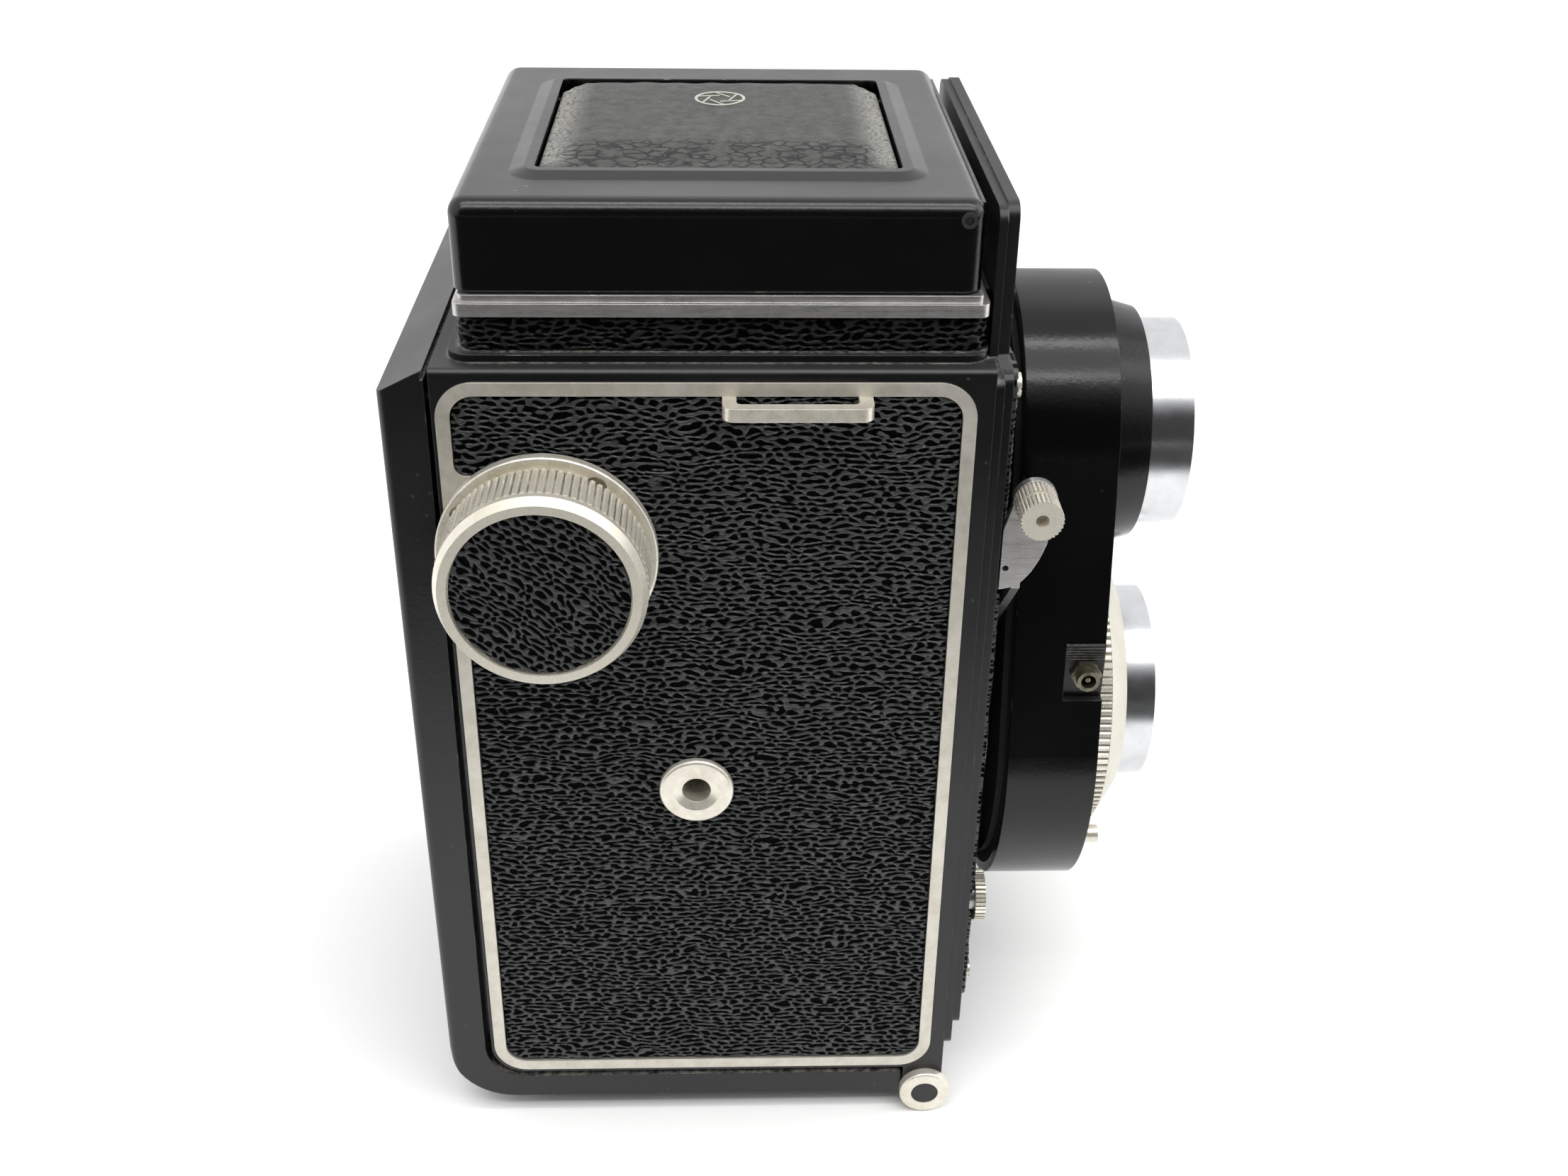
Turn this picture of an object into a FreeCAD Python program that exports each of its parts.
"""Twin lens reflex camera for 6x6 roll film, as separate pieces in millimetres.

Frame: +Z up, the lenses look along -Y, and -X is the winding-knob side.
The origin is the mouth of the tripod socket, on the plane of the body's bottom.
"""
import FreeCAD, Part
import math
import os

Vec = FreeCAD.Vector

# Body and back cover
HALF_W = 38.5            # half the width across the two side faces
FRONT_Y = -33.0          # front face of the casting
BODY_REAR = 38.2         # where the casting ends and the back cover begins
COVER_REAR = 44.9        # rear face of the back cover
DECK_Z = 124.7           # top shoulder of the body
BODY_LOW = 5.2           # lower edge of the casting's sides
BAY_X = 33.2             # half width inside, for a 65 mm film spool
TONGUE = 2.0             # light-trap tongue, thickness
COVER_SKIN = 1.5
GROOVE = 1.0             # dark groove between the casting and the cover flange
COVER_CORNER = 10.0
FOOT_Z = -3.2            # plane the camera stands on

# Optics
TAKE_Z = 54.0            # height of the taking lens axis
VIEW_Z = 100.5           # height of the viewing lens axis
FILM_Y = 36.0            # film plane
GATE = 28.0              # half of the 56 mm picture
MIRROR_C = 96.0          # the mirror seat is the plane z = y + MIRROR_C
SCREEN_Z = 128.6         # lower face of the ground glass

# Film transport
TAKEUP = (24.6, 98.9)    # y, z of the take-up spool and of the winding knob
SUPPLY = (20.0, 14.9)    # y, z of the supply spool
SPOOL_R = 12.2
SPOOL_HALF = 32.5
FLANGE_T = 1.2           # thickness of a spool's end flange
SPINDLE_R = 3.05         # pins that enter the ends of a spool
SHAFT_R = 4.0            # winding shaft inside the body wall
ROLLER_R = 2.0
ROLLER_PIN_R = 0.8
ROLLER_Y = 33.5
ROLLERS_Z = {"lower": 22.0, "upper": 86.0}
RUN = 0.05               # radial clearance of a running fit

# Side trim and leather
TRIM_Y = (-30.8, 37.7)
TRIM_Z = (5.9, 123.1)
TRIM_W = 1.8
TRIM_R = 5.0
PANEL_DEEP = 0.8         # depth of the recess that holds trim and leather
WEB_Z = (97.0, 110.2)    # the left trim widens to meet the knob's base disc
WEB_Y = 30.0
ACCESSORY = (5.5, 60.5)  # y, z of the flash bracket's bushing
SOCKET_R = 3.2
STRAP_Y = (-17.4, 1.6)
STRAP_Z = (119.5, 121.3)
STRAP_BAR = 1.8          # width of a strap loop's bars

# Front plates and focusing
STEP1_Y, STEP2_Y, LEATHER_Y = -34.3, -36.0, -37.5
BOSS_R, BOSS_FRONT = 15.4, -39.45
LIGHT_R = 14.2           # outside of the light tube that slides in the boss
VIEW_TUBE_R = 16.0
RODS = [(-9.0, 79.0), (9.0, 79.0), (-16.0, 33.0), (16.0, 33.0)]
ROD_R = 1.8
RELEASE = (-27.5, 31.3)  # x, z of the shutter release
SCREWS = [(side * 26.0, z) for side in (-1, 1) for z in (14.5, 117.5)]

# Lens standard
SHROUD_LOW_R, SHROUD_UP_R = 31.5, 22.8
SHROUD_REAR, SHROUD_FRONT = -40.5, -53.8
SHROUD_WALL = 1.5
RIM_R = 15.65            # bright filter rims
RIM_FRONT = -66.0
SHUTTER_R = 23.7
DIAL_FRONT = -60.9
PC_YZ = (-51.2, 72.9)    # y, z of the flash contact
PC_SLOT = (-48.0, 68.9, 77.6)  # rear y and z ends of its block in the shroud
PC_R = 1.65              # sleeve of the contact

# Focus lever
KNOB_YZ = (-40.3, 103.9)
ARM_X = -33.0

# Winding knob
KNOB_R = 13.7
FLANGE_R = 14.6          # fixed base disc under the knob
FLANGE_SEAT_R = 9.0      # its hub, let into the side
NOTCH = (12.4, 1.5)      # distance from the axis and radius of its reading holes
NOTCH_DEGREES = (31.0, 123.0)

# Hinge of the back cover
HINGE = (-30.3, 0.8)     # y, z
HINGE_R, HINGE_PIN_R = 3.2, 1.5
HINGE_HEAD_R = 2.15      # heads of the hinge pin
EAR_X = 36.4             # inner face of the body's hinge ears

# Hood
LID_X = 35.0
LID_Y = (-31.0, 34.9)
LID_Z = (133.6, 145.1)
LID_AXIS = (-28.6, 142.9)  # y, z
LID_OPEN = (-21.5, 25.2)   # y ends of the opening in the lid
LID_OPEN_X = 23.2
LID_WALL = 1.4
LID_SKIN = 1.0
LID_SWELL = 0.7
PIVOT_R = 0.55           # radius of the lid's and the magnifier's pins
MAG_AXIS = (-3.0, 142.2)   # y, z of the magnifier's hinge under the lid
MAG_LENS = (10.0, 10.5)  # radius and y of the magnifier glass
LUG_X = (-18.5, 17.0)    # inner ends of the lugs that hold the magnifier
RAIL_Z = (130.7, 132.4, 133.3)
PANEL_HINGE = (32.4, 135.0)  # x, z of the side panels' hinge wires
REAR_HINGE = (30.7, 134.7)   # y, z of the rear panel's hinge wire
WIRE_R = 0.4
PANEL_T = 0.6


# ---------------------------------------------------------------- helpers

def box(x0, x1, y0, y1, z0, z1):
    """Box between two corners."""
    return Part.makeBox(x1 - x0, y1 - y0, z1 - z0, Vec(x0, y0, z0))


def cyl_x(x0, x1, y, z, r):
    return Part.makeCylinder(r, x1 - x0, Vec(x0, y, z), Vec(1, 0, 0))


def cyl_y(y0, y1, x, z, r):
    return Part.makeCylinder(r, y1 - y0, Vec(x, y0, z), Vec(0, 1, 0))


def cyl_z(z0, z1, x, y, r):
    return Part.makeCylinder(r, z1 - z0, Vec(x, y, z0), Vec(0, 0, 1))


def cone_y(y0, y1, z, r0, r1):
    """Cone on a lens axis, radius r0 at y0 and r1 at y1."""
    return Part.makeCone(r0, r1, y1 - y0, Vec(0, y0, z), Vec(0, 1, 0))


def tube_y(y0, y1, z, outer, inner):
    """Tube on a lens axis."""
    bore = cyl_y(y0 - 1, y1 + 1, 0, z, inner)
    return cyl_y(y0, y1, 0, z, outer).cut(bore)


def extrude(points, direction):
    wire = Part.makePolygon(points + [points[0]])
    return Part.Face(wire).extrude(direction)


def prism_x(points, x0, x1):
    """Outline of (y, z) points drawn out from x0 to x1."""
    return extrude([Vec(x0, y, z) for y, z in points], Vec(x1 - x0, 0, 0))


def prism_y(points, y0, y1):
    """Outline of (x, z) points drawn out from y0 to y1."""
    return extrude([Vec(x, y0, z) for x, z in points], Vec(0, y1 - y0, 0))


def prism_z(points, z0, z1):
    """Outline of (x, y) points drawn out from z0 to z1."""
    return extrude([Vec(x, y, z0) for x, y in points], Vec(0, 0, z1 - z0))


def round_edges(shape, radius, wanted):
    """Fillet the straight edges whose centre passes the test."""
    edges = [e for e in shape.Edges if wanted(e.CenterOfMass, e)]
    return shape.makeFillet(radius, edges)


def along(edge, axis):
    """True when a straight edge runs along the axis 'x', 'y' or 'z'."""
    span = edge.BoundBox
    sizes = {"x": span.XLength, "y": span.YLength, "z": span.ZLength}
    rest = sum(v for k, v in sizes.items() if k != axis)
    return sizes[axis] > 0.1 and rest < 1e-6


def rounded_plate_x(x0, x1, ys, zs, radius):
    """Plate facing X whose four corners are round."""
    plate = box(x0, x1, ys[0], ys[1], zs[0], zs[1])
    return round_edges(plate, radius, lambda c, e: along(e, "x"))


def rounded_plate_y(y0, y1, half_x, zs, radius):
    """Plate facing Y whose four corners are round."""
    plate = box(-half_x, half_x, y0, y1, zs[0], zs[1])
    return round_edges(plate, radius, lambda c, e: along(e, "y"))


def rounded_plate_z(z0, z1, half_x, ys, radius):
    """Plate facing Z whose four corners are round."""
    plate = box(-half_x, half_x, ys[0], ys[1], z0, z1)
    return round_edges(plate, radius, lambda c, e: along(e, "z"))


def toothed(r_out, depth, teeth):
    """Corner points of a straight-knurled outline, flat-topped teeth."""
    points = []
    for i in range(teeth):
        for part, radius in ((0.0, r_out - depth), (0.3, r_out), (0.7, r_out)):
            angle = 2 * math.pi * (i + part) / teeth
            points.append((radius * math.cos(angle), radius * math.sin(angle)))
    return points


def knurled_x(x0, x1, y, z, r, depth, teeth):
    return prism_x([(y + a, z + b) for a, b in toothed(r, depth, teeth)], x0, x1)


def knurled_y(y0, y1, x, z, r, depth, teeth):
    return prism_y([(x + a, z + b) for a, b in toothed(r, depth, teeth)], y0, y1)


def mirror_x(shape):
    return shape.mirror(Vec(0, 0, 0), Vec(1, 0, 0))


def both_sides(shape):
    """A piece and its mirror image as one group of solids."""
    return Part.makeCompound([shape, mirror_x(shape)])


def lens(y_front, y_back, z, radius, front_bulge, back_bulge):
    """Glass disc with two spherical faces bulging outwards."""
    def ball(apex, bulge, sign):
        r = (radius ** 2 + bulge ** 2) / (2 * bulge)
        return Part.makeSphere(r, Vec(0, apex + sign * r, z))
    disc = cyl_y(y_front, y_back, 0, z, radius)
    return disc.common(ball(y_front, front_bulge, 1)).common(ball(y_back, back_bulge, -1))


def figure_eight(shrink, y0, y1):
    """Outline around both lenses: two circles joined by their outer tangents."""
    low, up = SHROUD_LOW_R - shrink, SHROUD_UP_R - shrink
    lean = math.asin((low - up) / (VIEW_Z - TAKE_Z))
    c, s = math.cos(lean), math.sin(lean)
    a = Vec(low * c, y0, TAKE_Z + low * s)
    b = Vec(up * c, y0, VIEW_Z + up * s)
    top, bottom = Vec(0, y0, VIEW_Z + up), Vec(0, y0, TAKE_Z - low)
    a2, b2 = Vec(-a.x, y0, a.z), Vec(-b.x, y0, b.z)
    edges = [
        Part.makeLine(a, b),
        Part.Arc(b, top, b2).toShape(),
        Part.makeLine(b2, a2),
        Part.Arc(a2, bottom, a).toShape(),
    ]
    return Part.Face(Part.Wire(edges)).extrude(Vec(0, y1 - y0, 0))


def front_holes(y0, y1):
    """Everything that passes through the front wall and its plates."""
    cuts = [cyl_y(y0, y1, 0, TAKE_Z, LIGHT_R + RUN), cyl_y(y0, y1, 0, VIEW_Z, VIEW_TUBE_R + 0.2)]
    cuts += [cyl_y(y0, y1, x, z, ROD_R + RUN) for x, z in RODS]
    cuts.append(cyl_y(y0, y1, RELEASE[0], RELEASE[1], 2.5))
    return Part.makeCompound(cuts)


# ---------------------------------------------------------------- body

def side_recess():
    """Shallow pocket in each side for the trim and leather."""
    pocket = rounded_plate_x(-HALF_W, -HALF_W + PANEL_DEEP, TRIM_Y, TRIM_Z, TRIM_R)
    return both_sides(pocket)


def spool_bay(yz, radius, floor_z, roof_z):
    """Round chamber for a spool, open to the rear between two heights."""
    y, z = yz
    return cyl_x(-BAY_X, BAY_X, y, z, radius).fuse(
        box(-BAY_X, BAY_X, y, BODY_REAR + 10, floor_z, roof_z))


def front_room():
    """Space under the mirror web, around the light tunnel."""
    web = MIRROR_C - 2.1
    outline = [(-29.5, 7.2), (-29.5, web - 24.5), (-24.5, web - 24.5)]
    outline += [(122 - web, 122), (33, 122), (33, 7.2)]
    room = prism_x(outline, -BAY_X, BAY_X)
    walls = [
        cyl_x(-40, 40, TAKEUP[0], TAKEUP[1], 13.9),
        box(-40, 40, TAKEUP[0], 33, 83.0, 113.0),
        cyl_x(-40, 40, SUPPLY[0], SUPPLY[1], 13.5),
        box(-40, 40, 6.3, 33, 7.2, SUPPLY[1]),
        box(-40, 40, SUPPLY[0], 33, 7.2, 25.6),
    ]
    for wall in walls:
        room = room.cut(wall)
    return room


def mirror_room():
    """Wedge of space in front of and above the mirror."""
    outline = [(-29.5, 122), (-29.5, 71.5), (71.5 - MIRROR_C, 71.5), (26, 122)]
    return prism_x(outline, -32, 32)


def body_shell():
    """Cast body: film bays at the rear, mirror house above, neck on the deck."""
    shell = box(-HALF_W, HALF_W, FRONT_Y, BODY_REAR, BODY_LOW, DECK_Z)
    shell = round_edges(shell, 1.0, lambda c, e: along(e, "y") and c.z > 100)
    shell = round_edges(shell, 5.2, lambda c, e: along(e, "x") and c.z < 10 and c.y > 0)
    plinth = rounded_plate_z(DECK_Z, 125.7, 36.0, (-32.4, 36.2), 3.0)
    neck = rounded_plate_z(125.7, RAIL_Z[0], 33.8, (-31.6, 33.9), 2.0)
    tongue = box(BAY_X, BAY_X + TONGUE, -24, 42.6, 1.9, 119.5)
    tongue = round_edges(tongue, 8.0, lambda c, e: along(e, "x") and c.z < 10 and c.y > 0)
    ear = box(EAR_X, HALF_W, FRONT_Y, -26.8, HINGE[1], BODY_LOW)
    ear = ear.fuse(cyl_x(EAR_X, HALF_W, *HINGE, HINGE_R))
    shell = shell.fuse([plinth, neck, tongue, mirror_x(tongue), ear, mirror_x(ear)])
    cuts = [
        mirror_room(),
        front_room(),
        box(-28.5, 28.5, -26.5, 29.5, 121.9, RAIL_Z[0]),
        box(-30.1, 30.1, -28.1, 31.1, SCREEN_Z, RAIL_Z[0]),
        spool_bay(TAKEUP, 12.9, TAKEUP[1] - 12.9, TAKEUP[1] + 12.9),
        spool_bay(SUPPLY, 12.7, 0, 24.4),
        box(-BAY_X, BAY_X, 7.3, BODY_REAR + 10, 0, SUPPLY[1]),
        box(-GATE, GATE, 32, FILM_Y + 1, TAKE_Z - GATE, TAKE_Z + GATE),
        box(-31.5, 31.5, FILM_Y, BODY_REAR + 10, 20, 88),
        cyl_x(-BAY_X, BAY_X, ROLLER_Y, ROLLERS_Z["upper"], 2.4),
        box(-BAY_X, BAY_X, ROLLER_Y, BODY_REAR + 10, 83.6, 88.4),
        front_holes(FRONT_Y - 1, -29.4),
        cyl_x(-HALF_W - 1, -BAY_X + 1, *TAKEUP, SHAFT_R + RUN),
        cyl_x(BAY_X - 1, HALF_W + 1, *TAKEUP, SPINDLE_R + RUN),
        cyl_x(BAY_X - 1, HALF_W + 1, *SUPPLY, SPINDLE_R + RUN),
        cyl_x(-HALF_W - 1, -BAY_X + 1, *ACCESSORY, SOCKET_R),
        cyl_x(-HALF_W - 1, HALF_W + 1, *HINGE, HINGE_PIN_R),
        cyl_z(0, 8, 0, 0, 6.0),
        side_recess(),
        both_sides(strap_legs()),
    ]
    for z in ROLLERS_Z.values():
        cuts.append(cyl_x(-34.4, 34.4, ROLLER_Y, z, ROLLER_PIN_R + RUN))
    for cut in cuts:
        shell = shell.cut(cut)
    pivot = cyl_x(-BAY_X, -30.2, *SUPPLY, SPINDLE_R)
    return shell.fuse(pivot).removeSplitter()


def neck_leather():
    """Leather band around the neck under the bright frame."""
    outer = rounded_plate_z(125.7, 129.9, 34.8, (-32.4, 34.9), 2.6)
    return outer.cut(rounded_plate_z(125, 131, 33.8, (-31.6, 33.9), 2.0))


def hood_rail():
    """Bright frame around the neck's top, with a narrower step above."""
    low = rounded_plate_z(RAIL_Z[0], RAIL_Z[1], 36.0, (-31.9, 34.95), 1.2)
    high = rounded_plate_z(RAIL_Z[1], RAIL_Z[2], 35.3, (-31.2, 34.3), 1.0)
    return low.fuse(high).cut(box(-28.5, 28.5, -26.5, 29.5, 130, 134)).removeSplitter()


def ground_glass():
    return box(-30, 30, -28, 31, SCREEN_Z, RAIL_Z[0])


def slanted(y0, y1, offset, thick, half_x):
    """Plate lying on the 45 degree plane z = y + offset."""
    shift = thick / math.sqrt(2)
    outline = [(y0, y0 + offset), (y1, y1 + offset)]
    outline += [(y - shift, z + shift) for y, z in reversed(outline)]
    return prism_x(outline, -half_x, half_x)


def light_tunnel():
    """Sheet funnel from the lens to the picture gate."""
    def frustum(near, far):
        wires = []
        for y, h in ((-22.0, near), (33.0, far)):
            corners = [(-h, -h), (h, -h), (h, h), (-h, h), (-h, -h)]
            wires.append(Part.makePolygon([Vec(x, y, TAKE_Z + z) for x, z in corners]))
        return Part.makeLoft(wires, True, True)
    return frustum(14.65, 27.95).cut(frustum(14.3, 27.6))


def tripod_socket():
    socket = cyl_z(0, BODY_LOW, 0, 0, 9.0).fuse(cyl_z(BODY_LOW, 12, 0, 0, 6.0))
    return socket.cut(cyl_z(0, 10, 0, 0, 3.175)).removeSplitter()


def hinge_pin():
    """Hinge pin whose dark heads show inside the bright caps."""
    pin = cyl_x(-HALF_W - 1, HALF_W + 1, *HINGE, HINGE_PIN_R)
    head = cyl_x(-HALF_W - 1.3, -HALF_W - 0.5, *HINGE, HINGE_HEAD_R)
    return pin.fuse([head, mirror_x(head)]).removeSplitter()


def hinge_caps():
    """Bright end caps of the hinge, which also serve as the front feet."""
    cap = cyl_x(-HALF_W - 1.5, -HALF_W, *HINGE, HINGE_R + 0.8)
    cap = cap.makeFillet(0.4, [e for e in cap.Edges if e.CenterOfMass.x < -HALF_W - 1.4])
    cap = cap.cut(cyl_x(-HALF_W - 1.6, -HALF_W - 0.5, *HINGE, HINGE_HEAD_R))
    return both_sides(cap.cut(cyl_x(-HALF_W - 1, -HALF_W + 1, *HINGE, HINGE_PIN_R)))


def trim_web(x0, x1):
    """Wide place of the left trim, with a round corner for the leather."""
    web = box(x0, x1, WEB_Y, TRIM_Y[1] - TRIM_R, WEB_Z[0], WEB_Z[1])
    web = web.fuse(box(x0, x1, TRIM_Y[1] - TRIM_R, TRIM_Y[1] - 1, WEB_Z[0], WEB_Z[1]))
    corner = TRIM_Y[1] - TRIM_W - 1.5
    fill = box(x0, x1, corner, TRIM_Y[1] - 1, WEB_Z[1], WEB_Z[1] + 1.5)
    return web.fuse(fill.cut(cyl_x(x0, x1, corner, WEB_Z[1] + 1.5, 1.5)))


def side_trims():
    """Flat bright frames let into the two sides; the left one reaches under the knob."""
    outer = rounded_plate_x(-HALF_W - 0.3, -HALF_W + PANEL_DEEP, TRIM_Y, TRIM_Z, TRIM_R)
    ys = (TRIM_Y[0] + TRIM_W, TRIM_Y[1] - TRIM_W)
    zs = (TRIM_Z[0] + TRIM_W, TRIM_Z[1] - TRIM_W)
    frame = outer.cut(rounded_plate_x(-HALF_W - 1, -HALF_W + 1, ys, zs, TRIM_R - TRIM_W))
    web = trim_web(-HALF_W - 0.3, -HALF_W + PANEL_DEEP).cut(cyl_x(-40, -37, *TAKEUP, FLANGE_SEAT_R))
    return Part.makeCompound([frame.fuse(web).removeSplitter(), mirror_x(frame)])


def side_leather():
    """Leather panel inside the trim, pierced for what is fixed to the body."""
    ys = (TRIM_Y[0] + TRIM_W, TRIM_Y[1] - TRIM_W)
    zs = (TRIM_Z[0] + TRIM_W, TRIM_Z[1] - TRIM_W)
    panel = rounded_plate_x(-HALF_W - 0.1, -HALF_W + PANEL_DEEP, ys, zs, TRIM_R - TRIM_W)
    return panel.cut(strap_legs())


def side_leather_left():
    """Panel on the knob side, open for the knob's base disc and the bushing."""
    panel = side_leather().cut(cyl_x(-40, -37, *TAKEUP, FLANGE_SEAT_R))
    return panel.cut([cyl_x(-40, -37, *ACCESSORY, SOCKET_R), trim_web(-40, -37)])


def side_leather_right():
    """Panel on the far side, open for the stems of the two pull knobs."""
    panel = mirror_x(side_leather())
    for centre in (TAKEUP, SUPPLY):
        panel = panel.cut(cyl_x(37, 40, *centre, SPINDLE_R + RUN))
    return panel


def strap_legs():
    """The two legs of a strap loop, inside the body wall."""
    legs = [box(-HALF_W - 0.2, -36.5, y, y + STRAP_BAR, STRAP_Z[0], STRAP_Z[1])
            for y in (STRAP_Y[0], STRAP_Y[1] - STRAP_BAR)]
    return Part.makeCompound(legs)


def strap_loops():
    """Flat square-cornered loops for the neck strap."""
    loop = box(-42.8, -36.5, STRAP_Y[0], STRAP_Y[1], STRAP_Z[0], STRAP_Z[1])
    loop = round_edges(loop, 1.6, lambda c, e: along(e, "z") and c.x < -40)
    inner = box(-41.2, -36, STRAP_Y[0] + STRAP_BAR, STRAP_Y[1] - STRAP_BAR, 119, 122)
    inner = round_edges(inner, 0.7, lambda c, e: along(e, "z") and c.x < -40)
    return both_sides(loop.cut(inner))


def accessory_socket():
    """Bushing in the side for a flash bracket, with a dished washer face."""
    y, z = ACCESSORY
    face, bore = -HALF_W - 1.1, 2.04
    flange = cyl_x(face, -HALF_W - 0.1, y, z, 5.3)
    flange = flange.makeFillet(0.5, [e for e in flange.Edges if e.CenterOfMass.x < face + 0.1])
    sleeve = cyl_x(-HALF_W - 0.1, -BAY_X - 0.2, y, z, SOCKET_R)
    dish = Part.makeCone(3.2, bore, 0.5, Vec(face, y, z), Vec(1, 0, 0))
    return flange.fuse(sleeve).cut([dish, cyl_x(face - 1, -32, y, z, bore)]).removeSplitter()


def knob_flange():
    """Fixed base disc under the winding knob, with two reading holes near its rim."""
    y, z = TAKEUP
    disc = cyl_x(-40.3, -38.85, y, z, FLANGE_R).fuse(cyl_x(-38.85, -37.7, y, z, FLANGE_SEAT_R))
    disc = disc.makeFillet(0.4, [e for e in disc.Edges if e.CenterOfMass.x < -40.2])
    disc = disc.cut(cyl_x(-41, -37, y, z, SHAFT_R + 0.2))
    reach, radius = NOTCH
    for degrees in NOTCH_DEGREES:
        a = math.radians(degrees)
        hole = cyl_x(-41, -39.4, y + reach * math.cos(a), z + reach * math.sin(a), radius)
        disc = disc.cut(hole)
    return disc.removeSplitter()


def front_plate():
    """Stepped front panel with the sleeve that guides the light tube."""
    plate = rounded_plate_y(STEP1_Y, FRONT_Y, 37.5, (8.5, 123.0), 2.0)
    plate = plate.fuse(rounded_plate_y(STEP2_Y, STEP1_Y, 34.0, (9.5, 122.2), 2.0))
    plate = plate.fuse(cyl_y(BOSS_FRONT, STEP2_Y, 0, TAKE_Z, BOSS_R))
    plate = plate.cut(front_holes(BOSS_FRONT - 1, FRONT_Y + 1))
    return plate.cut(screw_shanks()).removeSplitter()


def front_leather():
    """Leather on the front plate, open for the boss, the rods and the screws."""
    skin = rounded_plate_y(LEATHER_Y, STEP2_Y, 29.5, (11.0, 121.2), 2.0)
    skin = skin.cut(cyl_y(-38, -35.5, 0, TAKE_Z, BOSS_R))
    skin = skin.cut(front_holes(-38, -35.5))
    return skin.cut(screw_shanks())


def screw_shanks():
    """Shanks of the front screws, also used to drill for them."""
    return Part.makeCompound([cyl_y(-38.5, -34.5, x, z, 0.9) for x, z in SCREWS])


def front_screws():
    """Four slotted screws that hold the front panel."""
    screws = []
    for x, z in SCREWS:
        head = cyl_y(LEATHER_Y - 0.7, LEATHER_Y, x, z, 1.7)
        head = head.cut(box(x - 2, x + 2, LEATHER_Y - 0.8, LEATHER_Y - 0.35, z - 0.2, z + 0.2))
        screws.append(head.fuse(cyl_y(LEATHER_Y, -34.5, x, z, 0.9)).removeSplitter())
    return Part.makeCompound(screws)


def name_plate():
    """Blank double plate that stands in front of the hood."""
    def layer(y0, y1, half_x, top):
        plate = box(-half_x, half_x, y0, y1, DECK_Z + 0.1, top)
        return round_edges(plate, 2.2, lambda c, e: along(e, "y") and c.z > 140)
    plate = layer(-33.6, -32.5, 34.0, 144.0).fuse(layer(-35.1, -33.6, 33.4, 144.4))
    foot = box(-30, 30, -32.5, -31.9, RAIL_Z[0] + 0.1, RAIL_Z[1])
    return plate.fuse(foot).removeSplitter()


def release_collar():
    """Knurled guard around the shutter release."""
    x, z = RELEASE
    return knurled_y(-39.1, LEATHER_Y, x, z, 4.05, 0.25, 36).cut(cyl_y(-40, -37, x, z, 2.5))


def release_button():
    """Plunger of the shutter release, dished for the finger."""
    x, z = RELEASE
    plunger = cyl_y(-38.7, -26.5, x, z, 2.5 - RUN)
    return plunger.cut(Part.makeSphere(6.0, Vec(x, -44.2, z)))


# ---------------------------------------------------------------- back cover

def cover_outline(inset):
    """Side view of the cover's outside, inset by the skin for its inside."""
    low, rear, radius = inset, COVER_REAR - inset, COVER_CORNER - inset
    points = [(-26.4, low)]
    for step in range(13):
        angle = math.radians(-90 + 7.5 * step)
        points.append((rear - radius + radius * math.cos(angle),
                       low + radius + radius * math.sin(angle)))
    points.append((rear, 121.6 - 0.6 * inset))
    points.append((38.8, DECK_Z - inset))
    return points


def rear_foot():
    """Round foot pressed out of the cover's bottom."""
    foot = cyl_z(FOOT_Z, 0.5, 27.0, 25.0, 3.0)
    return foot.makeFillet(0.6, [e for e in foot.Edges if e.CenterOfMass.z < FOOT_Z + 0.1])


def back_cover():
    """Shell that closes the rear and the bottom, hinged at the bottom front."""
    inner_y, inner_z, r = BODY_REAR + GROOVE, BODY_LOW - GROOVE, 6.0
    groove = [(inner_y, inner_z + r)]
    for step in range(1, 7):
        angle = math.radians(-15.0 * step)
        groove.append((inner_y - r + r * math.cos(angle), inner_z + r + r * math.sin(angle)))
    groove.append((-26.4, inner_z))
    top = [(inner_y, DECK_Z - 1.4), (38.8, DECK_Z - 1.4)]
    shell = prism_x(cover_outline(0.0) + top + groove, -HALF_W, HALF_W)
    shell = round_edges(shell, 1.2, lambda c, e: abs(abs(c.x) - HALF_W) < 1e-6
                        and c.y > 44.8 and along(e, "z"))
    inside = cover_outline(COVER_SKIN) + [(20, DECK_Z - COVER_SKIN), (20, 20), (-30, 20)]
    inside[0] = (-30, COVER_SKIN)
    shell = shell.cut(prism_x(inside, -35.6, 35.6))
    half = EAR_X - 0.2
    bridge = box(-half, half, HINGE[0], -26.0, 0.1, 1.4)
    barrel = cyl_x(-half, half, *HINGE, HINGE_R)
    shell = shell.fuse([bridge, barrel, rear_foot(), mirror_x(rear_foot())])
    shell = shell.cut(cyl_x(-40, 40, *HINGE, HINGE_PIN_R + RUN))
    shell = shell.cut(cyl_z(-1, 3, 0, 0, 9.8))
    shell = shell.cut(box(-4.2, 4.2, 43, 46, 107.8, 114.2))
    return shell.removeSplitter()


def back_leather():
    """Leather on the rear face."""
    return rounded_plate_y(COVER_REAR, COVER_REAR + 0.5, 33.0, (12.5, 105.0), 3.0)


def pressure_plate():
    """Flat plate that holds the film against the gate."""
    plate = rounded_plate_y(36.4, 37.6, 30.5, (25.5, 82.5), 2.0)
    ribs = [box(x - 0.8, x + 0.8, 37.6, 38.4, 30, 78) for x in (-24.0, 24.0)]
    return plate.fuse(ribs).removeSplitter()


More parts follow.
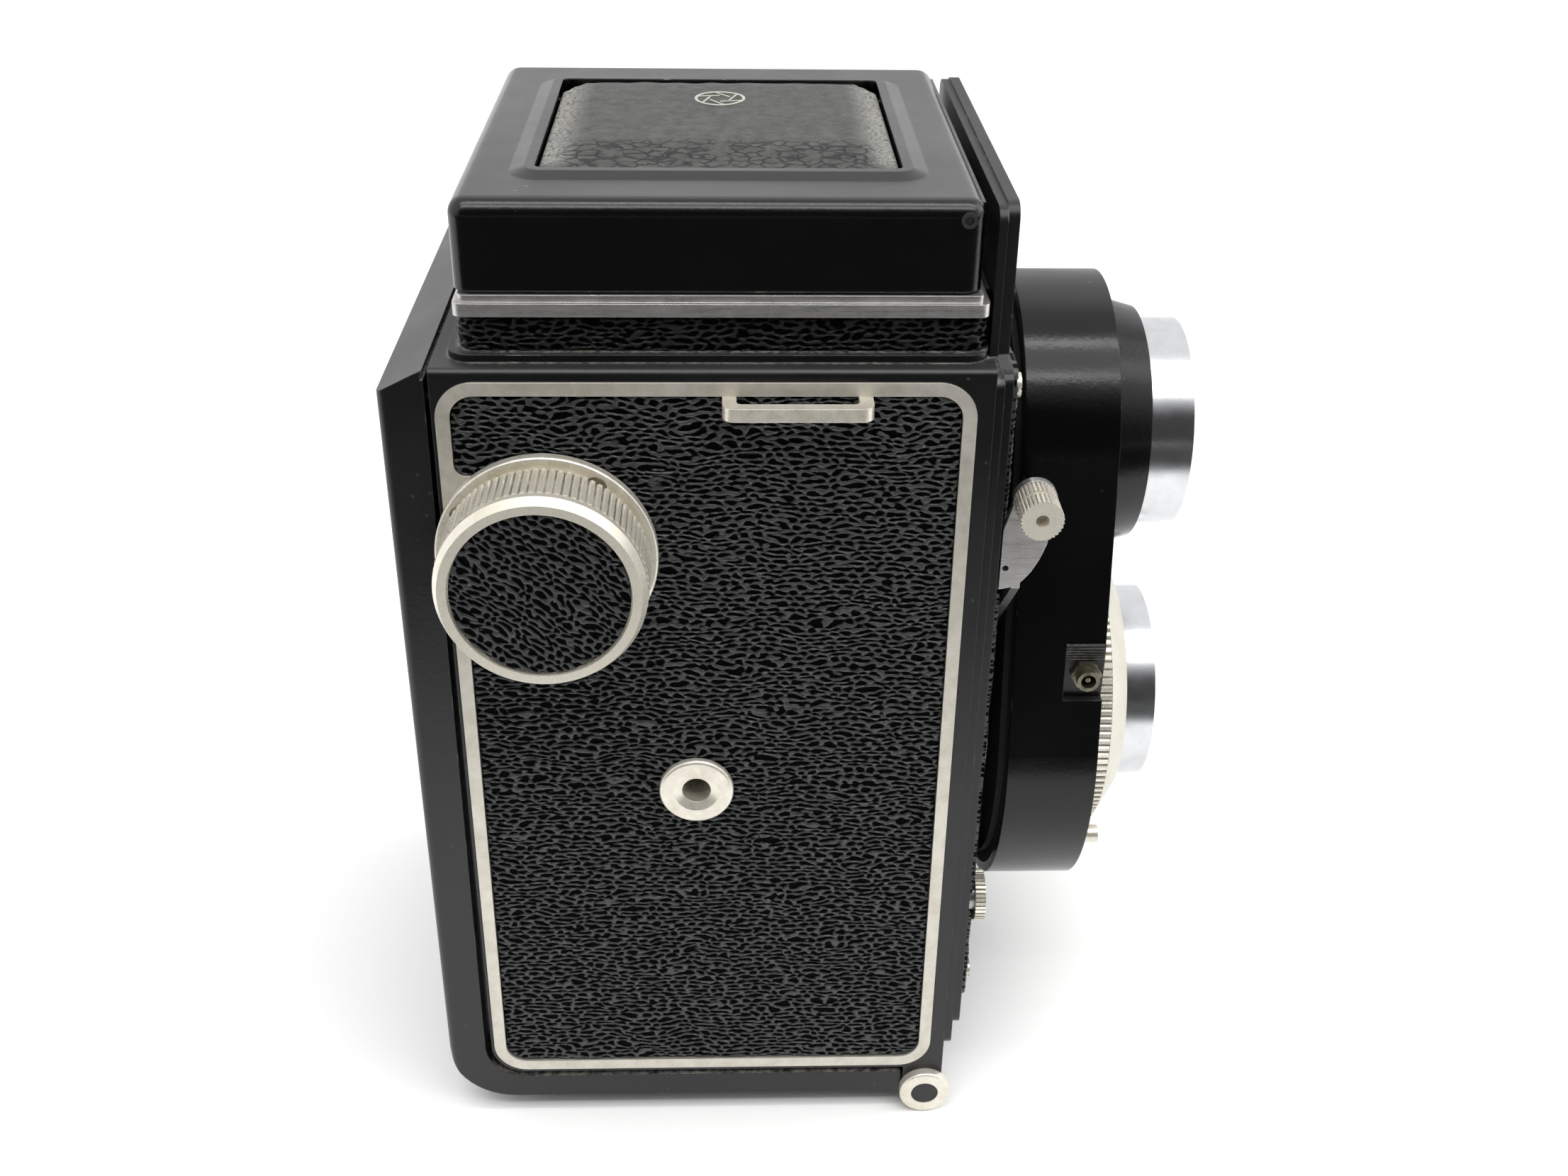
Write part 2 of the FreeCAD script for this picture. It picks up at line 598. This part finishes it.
def pressure_springs():
    """Two bowed leaf springs behind the pressure plate."""
    def leaf(z):
        outline = [(-18, 43.4), (-12, 43.4), (-4, 38.1), (4, 38.1), (12, 43.4), (18, 43.4),
                   (18, 43.0), (12.2, 43.0), (4.2, 37.6), (-4.2, 37.6), (-12.2, 43.0), (-18, 43.0)]
        return prism_z(outline, z - 4, z + 4)
    return Part.makeCompound([leaf(38.0), leaf(70.0)])


def back_latch():
    """Sliding catch in the cover's rear face."""
    grip = rounded_plate_y(44.95, 46.7, 7.0, (108.5, 115.5), 1.5)
    for z in (110.4, 112.0, 113.6):
        grip = grip.cut(box(-8, 8, 46.3, 47, z - 0.3, z + 0.3))
    stem = box(-4.0, 4.0, 43.3, 44.95, 110.9, 114.1)
    bolt = box(-6.0, 6.0, 42.0, 43.3, 109.0, 118.8)
    return grip.fuse([stem, bolt]).removeSplitter()


# ---------------------------------------------------------------- film transport

def spool(yz):
    """120 roll-film spool: core, two flanges and a bore at each end."""
    y, z = yz
    core = cyl_x(-SPOOL_HALF, SPOOL_HALF, y, z, 5.8)
    ends = [cyl_x(x, x + FLANGE_T, y, z, SPOOL_R) for x in (-SPOOL_HALF, SPOOL_HALF - FLANGE_T)]
    body = core.fuse(ends)
    for x in (-SPOOL_HALF - 1, SPOOL_HALF - 3):
        body = body.cut(cyl_x(x, x + 4, y, z, SPINDLE_R + RUN))
    return body.cut(box(-20, 20, y - 0.6, y + 0.6, z, z + 7)).removeSplitter()


def winding_knob():
    """Knurled knob with a bevel and a dished face for its leather disc."""
    y, z = TAKEUP
    grip = knurled_x(-47.9, -41.4, y, z, KNOB_R, 0.35, 80)
    waist = cyl_x(-41.4, -40.5, y, z, 12.9)
    bevel = Part.makeCone(12.9, KNOB_R - 0.1, 1.4, Vec(-50.35, y, z), Vec(1, 0, 0))
    band = cyl_x(-48.95, -47.9, y, z, KNOB_R - 0.1)
    knob = grip.fuse([waist, band, bevel])
    return knob.cut(cyl_x(-51, -49.6, y, z, 11.7)).removeSplitter()


def knob_disc():
    """Leather disc in the winding knob's face."""
    return cyl_x(-50.1, -49.6, *TAKEUP, 11.5)


def winding_shaft():
    """Shaft from the knob to the take-up spool."""
    y, z = TAKEUP
    shaft = cyl_x(-40.5, -BAY_X, y, z, SHAFT_R)
    return shaft.fuse(cyl_x(-BAY_X, -30.0, y, z, SPINDLE_R)).removeSplitter()


def spool_holder(yz):
    """Spring-loaded pull knob on the right side that frees a spool."""
    y, z = yz
    stem = cyl_x(30.0, 39.0, y, z, SPINDLE_R)
    head = knurled_x(39.0, 42.5, y, z, 7.0, 0.3, 44)
    return stem.fuse(head).cut(cyl_x(42.1, 43, y, z, 5.4)).removeSplitter()


def film_roller(z):
    """Roller that guides the film around a corner of the gate."""
    roller = cyl_x(-32.8, 32.8, ROLLER_Y, z, ROLLER_R)
    return roller.fuse(cyl_x(-34.2, 34.2, ROLLER_Y, z, ROLLER_PIN_R)).removeSplitter()


# ---------------------------------------------------------------- lens standard

def pc_notch():
    """Slot in the shroud for the flash contact's block."""
    rear, low, high = PC_SLOT
    return box(-30, -25, SHROUD_FRONT - 0.1, rear, low, high)


def lens_shroud():
    """Deep figure-eight cover around both lenses."""
    shell = figure_eight(0.0, SHROUD_FRONT, SHROUD_REAR)
    shell = shell.cut(figure_eight(SHROUD_WALL, SHROUD_FRONT + SHROUD_WALL, SHROUD_REAR + 1))
    shell = shell.cut(cyl_y(-60, -50, 0, VIEW_Z, 19.1))
    shell = shell.cut(cyl_y(-60, -50, 0, TAKE_Z, SHUTTER_R + 0.1))
    return shell.cut(pc_notch())


def lens_board():
    """Plate that closes the shroud's rear, with the rods it slides on."""
    board = figure_eight(SHROUD_WALL, -41.7, SHROUD_REAR).fuse(
        figure_eight(3.5, SHROUD_REAR, -39.6))
    board = board.cut(cyl_y(-43, -39, 0, TAKE_Z, LIGHT_R))
    board = board.cut(cyl_y(-43, -39, 0, VIEW_Z, VIEW_TUBE_R))
    rods = [cyl_y(-41.7, -24.0, x, z, ROD_R) for x, z in RODS]
    return board.fuse(rods).removeSplitter()


def lens_tubes():
    """Tubes that carry the light from each lens into the body."""
    light = tube_y(-41.7, -23.5, TAKE_Z, LIGHT_R, LIGHT_R - 1.0)
    view = tube_y(-41.7, -31.0, VIEW_Z, VIEW_TUBE_R, VIEW_TUBE_R - 1.0)
    return Part.makeCompound([light, view])


def viewing_barrel():
    """Black conical mount of the viewing lens."""
    barrel = cyl_y(SHROUD_FRONT, -41.7, 0, VIEW_Z, 19.0)
    barrel = barrel.fuse(cone_y(-59.5, SHROUD_FRONT, VIEW_Z, 17.4, 19.0))
    return barrel.cut(cyl_y(-61, -40, 0, VIEW_Z, 13.5)).removeSplitter()


def filter_rim(z, y_rear, bore):
    """Bright ring in front of a lens, chamfered at its mouth."""
    rim = tube_y(RIM_FRONT, y_rear, z, RIM_R, bore)
    return rim.cut(cone_y(RIM_FRONT, RIM_FRONT + 2.2, z, RIM_R - 0.6, bore))


def shutter_housing():
    """Between-lens shutter body with a neck for the speed ring."""
    housing = cyl_y(-54.4, -41.7, 0, TAKE_Z, SHUTTER_R)
    housing = housing.fuse(cyl_y(-57.6, -54.4, 0, TAKE_Z, 18.95))
    return housing.cut(cyl_y(-58, -41, 0, TAKE_Z, 13.0)).removeSplitter()


def speed_ring():
    """Knurled ring that sets the shutter speed."""
    ring = knurled_y(-57.5, -54.5, 0, TAKE_Z, 23.2, 0.35, 120)
    return ring.cut(cyl_y(-58, -54, 0, TAKE_Z, 18.95 + RUN))


def scale_dial():
    """Pale conical scale in front of the speed ring."""
    dial = cone_y(DIAL_FRONT, -57.6, TAKE_Z, 18.3, 22.9)
    return dial.cut(cyl_y(-62, -57, 0, TAKE_Z, 13.0))


def aperture_lever():
    """Thin ring with a tab and a small upright pin."""
    ring = tube_y(-54.35, -53.9, TAKE_Z, 24.9, SHUTTER_R + RUN)
    tab = cyl_y(-54.35, -53.9, -20.0, 37.3, 2.4).cut(cyl_y(-55, -53, 0, TAKE_Z, 24.0))
    pin = cyl_y(-58.0, -54.35, -20.0, 37.3, 1.4)
    return ring.fuse([tab, pin]).removeSplitter()


def blade_ring(count, inner, outer, y0, y1):
    """Flat blades as equal sectors with a hair of space between them."""
    ring = tube_y(y0, y1, TAKE_Z, outer, inner)
    blades = []
    for i in range(count):
        a0 = 2 * math.pi * i / count + 0.004
        a1 = 2 * math.pi * (i + 1) / count - 0.004
        reach = 2 * outer
        mid = (a0 + a1) / 2
        wedge = [(0.02 * math.cos(mid), TAKE_Z + 0.02 * math.sin(mid))]
        wedge += [(reach * math.cos(a), TAKE_Z + reach * math.sin(a)) for a in (a0, mid, a1)]
        blades.append(ring.common(prism_y(wedge, y0, y1)))
    return Part.makeCompound(blades)


def pc_plate():
    """Small ribbed block that carries the flash contact."""
    rear, low, high = PC_SLOT
    block = box(-28.0, -25.0, SHROUD_FRONT, rear, low, high)
    for i in range(5):
        rib_z = 75.4 + 0.45 * i
        block = block.cut(box(-28.1, -27.8, SHROUD_FRONT - 1, -47, rib_z - 0.1, rib_z + 0.1))
    return block.cut(cyl_x(-29, -26, *PC_YZ, PC_R))


def pc_socket():
    """Flash contact: hexagon nut, sleeve and a centre pin."""
    y, z = PC_YZ
    nut = prism_x([(y + 2.35 * math.cos(math.pi * k / 3), z + 2.35 * math.sin(math.pi * k / 3))
                   for k in range(6)], -28.7, -28.0)
    sleeve = cyl_x(-30.4, -26.0, y, z, PC_R)
    socket = nut.fuse(sleeve).cut(cyl_x(-31, -27.4, y, z, 1.1))
    return socket.fuse(cyl_x(-29.9, -27.4, y, z, 0.4)).removeSplitter()


# ---------------------------------------------------------------- focus lever

def focus_lever():
    """Ring around the light tube with one arm that ends in a bent-up ear."""
    y0, y1 = -39.2, -38.0
    ring = tube_y(y0, y1, TAKE_Z, 20.0, BOSS_R + RUN)
    outline = [(-11.5, 69.0), (-5.5, 71.5), (-32.4, 101.0), (-33.6, 101.0), (-33.6, 90.5)]
    arm = prism_y(outline, y0, y1).cut(cyl_y(-40, -37, 0, TAKE_Z, 18))
    knob_y, knob_z = KNOB_YZ
    ear_points = [(-36.3, 90.3), (-36.3, 99.5), (-37.6, 104.0), (-43.1, 103.0)]
    for step in range(7):
        t = step / 6
        ear_points.append((-42.9 + 6.0 * t ** 1.35, 100.0 - 9.6 * math.sin(math.pi / 2 * t) ** 0.9))
    ear = prism_x(ear_points, ARM_X - 0.6, ARM_X + 0.6)
    ear = ear.fuse(cyl_x(ARM_X - 0.6, ARM_X + 0.6, knob_y, knob_z, 3.0))
    ear = ear.cut(cyl_x(-35, -31, -37.0, 93.6, 0.45))
    ear = ear.cut(cyl_x(-35, -31, knob_y, knob_z, 1.4))
    return ring.fuse([arm, ear]).removeSplitter()


def focus_knob():
    """Two knurled rolls on a screw, with a drilled face."""
    y, z = KNOB_YZ
    knob = knurled_x(-36.2, ARM_X - 0.6, y, z, 2.9, 0.2, 30)
    knob = knob.fuse(cyl_x(-36.8, -36.2, y, z, 2.5))
    knob = knob.fuse(knurled_x(-39.5, -36.8, y, z, 2.9, 0.2, 30))
    knob = knob.fuse(cyl_x(ARM_X - 0.6, ARM_X + 1.0, y, z, 1.4))
    return knob.cut(cyl_x(-40, -37.5, y, z, 0.9)).removeSplitter()


# ---------------------------------------------------------------- hood

def lid_pad():
    """Low swelling around the lid's opening, with gently sloping sides."""
    def outline(margin, z):
        ys = (LID_OPEN[0] - margin, LID_OPEN[1] + margin)
        plate = rounded_plate_z(z, z + 1, LID_OPEN_X + margin, ys, margin + 1.0)
        return min(plate.Faces, key=lambda f: f.CenterOfMass.z).OuterWire
    low, high = LID_Z[1] - 0.1, LID_Z[1] + LID_SWELL
    return Part.makeLoft([outline(3.6, low), outline(1.3, high)], True)


def hood_lid():
    """Deep-drawn lid with a hinge lip and two lugs for the magnifier."""
    y0, y1 = LID_Y
    z0, z1 = LID_Z
    shell = rounded_plate_z(z0, z1, LID_X, LID_Y, 2.5)
    shell = shell.makeFillet(2.2, [e for e in shell.Edges if e.CenterOfMass.z > z1 - 1e-3])
    shell = shell.fuse(lid_pad())
    inner_z = z1 - LID_SKIN
    shell = shell.cut(box(-LID_X + LID_WALL, LID_X - LID_WALL, y0 - 1, y1 - LID_WALL, z0 - 1, inner_z))
    lip = box(-31.5, 31.5, y0, y0 + 0.9, 141.4, inner_z)
    shell = shell.fuse(lip)
    window = box(-LID_OPEN_X, LID_OPEN_X, LID_OPEN[0], LID_OPEN[1], z1 - 2, z1 + 2)
    shell = shell.cut(round_edges(window, 1.0, lambda c, e: along(e, "z")))
    y, z = LID_AXIS
    shell = shell.cut(cyl_x(-LID_X - 1, LID_X + 1, y, z, PIVOT_R + RUN))
    straps = [box(x, x + 1.5, LID_OPEN[0] - 3, LID_OPEN[1] + 3, inner_z - 0.6, inner_z)
              for x in LUG_X]
    lugs = [box(x, x + 1.5, MAG_AXIS[0] - 1.6, MAG_AXIS[0] + 1.6, 140.8, inner_z) for x in LUG_X]
    shell = shell.fuse(straps + lugs)
    return shell.cut(cyl_x(-20, 20, MAG_AXIS[0], MAG_AXIS[1], PIVOT_R + RUN)).removeSplitter()


def finder_flap():
    """Padded leather flap that fills the lid's opening."""
    gap = 0.3
    flap = box(-LID_OPEN_X + gap, LID_OPEN_X - gap, LID_OPEN[0] + gap, LID_OPEN[1] - gap,
               LID_Z[1] - LID_SKIN, LID_Z[1] + 0.5)
    return flap.makeChamfer(0.5, [e for e in flap.Edges if e.CenterOfMass.z > LID_Z[1] + 0.49])


def hood_base():
    """Sheet frame on the rail with the ears, pins and wires of every hood hinge."""
    frame = box(-33.4, 33.4, -30.6, 33.2, RAIL_Z[2], 133.8)
    frame = frame.cut(box(-28.5, 28.5, -26.5, 29.5, 133, 134))
    y, z = LID_AXIS
    ear = box(-33.3, -32.2, -29.65, -26.4, 133.8, 142.0)
    ear = ear.fuse(box(-33.3, -32.2, y - 1.05, y + 1.1, 142.0, z))
    ear = ear.fuse(cyl_x(-33.3, -32.2, y, z, 1.05))
    head = cyl_x(-LID_X - 0.4, -LID_X - RUN, y, z, 1.0)
    head = head.cut(cyl_x(-LID_X - 0.5, -LID_X - 0.15, y, z, PIVOT_R))
    ear = ear.fuse([cyl_x(-LID_X - RUN, -32.2, y, z, PIVOT_R), head])
    lugs = [box(-33.2, -31.6, near, near + 1.0, 133.8, 135.8) for near in (-22.0, 29.0)]
    rear_lug = box(-30.2, -29.2, 29.9, 31.5, 133.8, 135.4)
    side = ear.fuse(lugs + [rear_lug])
    wire_x, wire_z = PANEL_HINGE
    wires = [cyl_y(-22.0, 30.0, x, wire_z, WIRE_R) for x in (-wire_x, wire_x)]
    wires.append(cyl_x(-30.2, 30.2, *REAR_HINGE, WIRE_R))
    return frame.fuse([side, mirror_x(side)] + wires).removeSplitter()


def side_panel():
    """Folding left side of the hood, lying flat under the lid when closed."""
    hinge_x, hinge_z = -PANEL_HINGE[0], PANEL_HINGE[1]
    reach, middle = 24.0, hinge_z + 0.75
    outline = [(hinge_x, -20.8), (hinge_x + reach - 4, -18.0), (hinge_x + reach, -14.0),
               (hinge_x + reach, 5.8), (hinge_x + 1.4, 28.4), (hinge_x, 28.4)]
    leaf = prism_z(outline, middle - PANEL_T / 2, middle + PANEL_T / 2)
    leaf = leaf.fuse(cyl_y(-20.8, 28.8, hinge_x, hinge_z, 0.85))
    return leaf.cut(cyl_y(-24, 32, hinge_x, hinge_z, WIRE_R + RUN)).removeSplitter()


def rear_panel():
    """Folding rear of the hood, with slanted ends that clear the sides."""
    hinge_y, hinge_z = REAR_HINGE
    middle = hinge_z - 0.25
    outline = [(-28.9, hinge_y), (28.9, hinge_y), (28.9, 29.2), (9.0, 9.0), (-9.0, 9.0), (-28.9, 29.2)]
    leaf = prism_z(outline, middle - PANEL_T / 2, middle + PANEL_T / 2)
    leaf = leaf.fuse(cyl_x(-28.9, 28.9, hinge_y, hinge_z, 0.8))
    return leaf.cut(cyl_x(-31, 31, hinge_y, hinge_z, WIRE_R + RUN)).removeSplitter()


def magnifier_arm():
    """Hinged plate and pin that carry the focusing magnifier."""
    y, z = MAG_AXIS
    plate = box(-15.0, 15.0, y, 24.0, z - 0.6, z + 0.6)
    plate = round_edges(plate, 4.0, lambda c, e: along(e, "z") and c.y > 20)
    plate = plate.fuse([cyl_x(-16.8, 16.8, y, z, 1.1), cyl_x(-18.4, 18.4, y, z, PIVOT_R)])
    return plate.cut(cyl_z(140, 144, 0, MAG_LENS[1], MAG_LENS[0])).removeSplitter()


def magnifier_lens():
    """Double-convex glass of the magnifier."""
    radius, y = MAG_LENS
    low, high = MAG_AXIS[1] - 2.0, MAG_AXIS[1] + 1.4
    ball = (radius ** 2 + 1.2 ** 2) / (2 * 1.2)
    glass = cyl_z(low, high, 0, y, radius)
    glass = glass.common(Part.makeSphere(ball, Vec(0, y, high - ball)))
    return glass.common(Part.makeSphere(ball, Vec(0, y, low + ball)))


# ---------------------------------------------------------------- build

def build():
    """Every piece by its node name."""
    return {
        "body_shell": body_shell(),
        "neck_leather": neck_leather(),
        "hood_rail": hood_rail(),
        "ground_glass": ground_glass(),
        "reflex_mirror": slanted(-23.4, 23.5, MIRROR_C, 2.0, 30.0),
        "light_tunnel": light_tunnel(),
        "tripod_socket": tripod_socket(),
        "hinge_pin": hinge_pin(),
        "hinge_caps": hinge_caps(),
        "side_trims": side_trims(),
        "side_leather_left": side_leather_left(),
        "side_leather_right": side_leather_right(),
        "strap_loops": strap_loops(),
        "accessory_socket": accessory_socket(),
        "knob_flange": knob_flange(),
        "front_plate": front_plate(),
        "front_leather": front_leather(),
        "front_screws": front_screws(),
        "name_plate": name_plate(),
        "release_collar": release_collar(),
        "release_button": release_button(),
        "back_cover": back_cover(),
        "back_leather": back_leather(),
        "pressure_plate": pressure_plate(),
        "pressure_springs": pressure_springs(),
        "back_latch": back_latch(),
        "takeup_spool": spool(TAKEUP),
        "supply_spool": spool(SUPPLY),
        "winding_knob": winding_knob(),
        "knob_disc": knob_disc(),
        "winding_shaft": winding_shaft(),
        "takeup_holder": spool_holder(TAKEUP),
        "supply_holder": spool_holder(SUPPLY),
        "film_roller_lower": film_roller(ROLLERS_Z["lower"]),
        "film_roller_upper": film_roller(ROLLERS_Z["upper"]),
        "lens_shroud": lens_shroud(),
        "lens_board": lens_board(),
        "lens_tubes": lens_tubes(),
        "viewing_barrel": viewing_barrel(),
        "viewing_rim": filter_rim(VIEW_Z, -59.5, 13.5),
        "viewing_glass": lens(-63.2, -54.0, VIEW_Z, 13.5, 2.6, 1.5),
        "shutter_housing": shutter_housing(),
        "speed_ring": speed_ring(),
        "scale_dial": scale_dial(),
        "taking_rim": filter_rim(TAKE_Z, DIAL_FRONT, 13.0),
        "taking_glass": lens(-62.6, -55.0, TAKE_Z, 13.0, 2.4, 1.2),
        "shutter_blades": blade_ring(5, 0.3, 13.0, -48.4, -48.0),
        "aperture_lever": aperture_lever(),
        "pc_plate": pc_plate(),
        "pc_socket": pc_socket(),
        "focus_lever": focus_lever(),
        "focus_knob": focus_knob(),
        "hood_lid": hood_lid(),
        "finder_flap": finder_flap(),
        "hood_base": hood_base(),
        "hood_side_left": side_panel(),
        "hood_side_right": mirror_x(side_panel()),
        "hood_rear": rear_panel(),
        "magnifier_arm": magnifier_arm(),
        "magnifier_lens": magnifier_lens(),
    }


os.makedirs("parts", exist_ok=True)
for name, shape in build().items():
    shape.exportStep(os.path.join("parts", name + ".step"))
